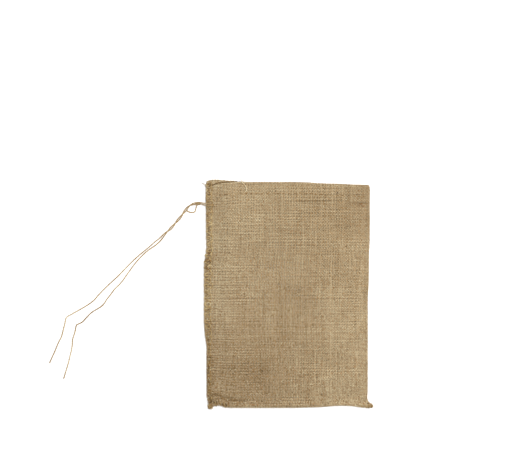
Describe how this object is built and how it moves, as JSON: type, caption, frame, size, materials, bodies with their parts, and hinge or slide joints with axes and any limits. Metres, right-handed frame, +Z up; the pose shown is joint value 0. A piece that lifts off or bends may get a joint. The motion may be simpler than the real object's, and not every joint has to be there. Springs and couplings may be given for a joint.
{
  "type": "jute sack",
  "caption": "Small empty hessian sack lying flat, folded at one side, overedged at the other, hemmed at the mouth, with a loose string tie.",
  "frame": {"origin": "centre of the sack's own box, without its tie, on the surface it lies on", "axes": "+Z up off the surface, +Y along the sack to its mouth, +X across it to the folded side"},
  "size_m": [0.3981, 0.2814, 0.0114],
  "materials": {
    "jute_cloth": "matt woven jute yarn",
    "jute_string": "matt twisted jute string"
  },
  "bodies": {
    "root": {"sack_cloth": "jute_cloth", "tie_knot": "jute_string", "tie_string_left": "jute_string", "tie_string_right": "jute_string"}
  },
  "joints": []
}
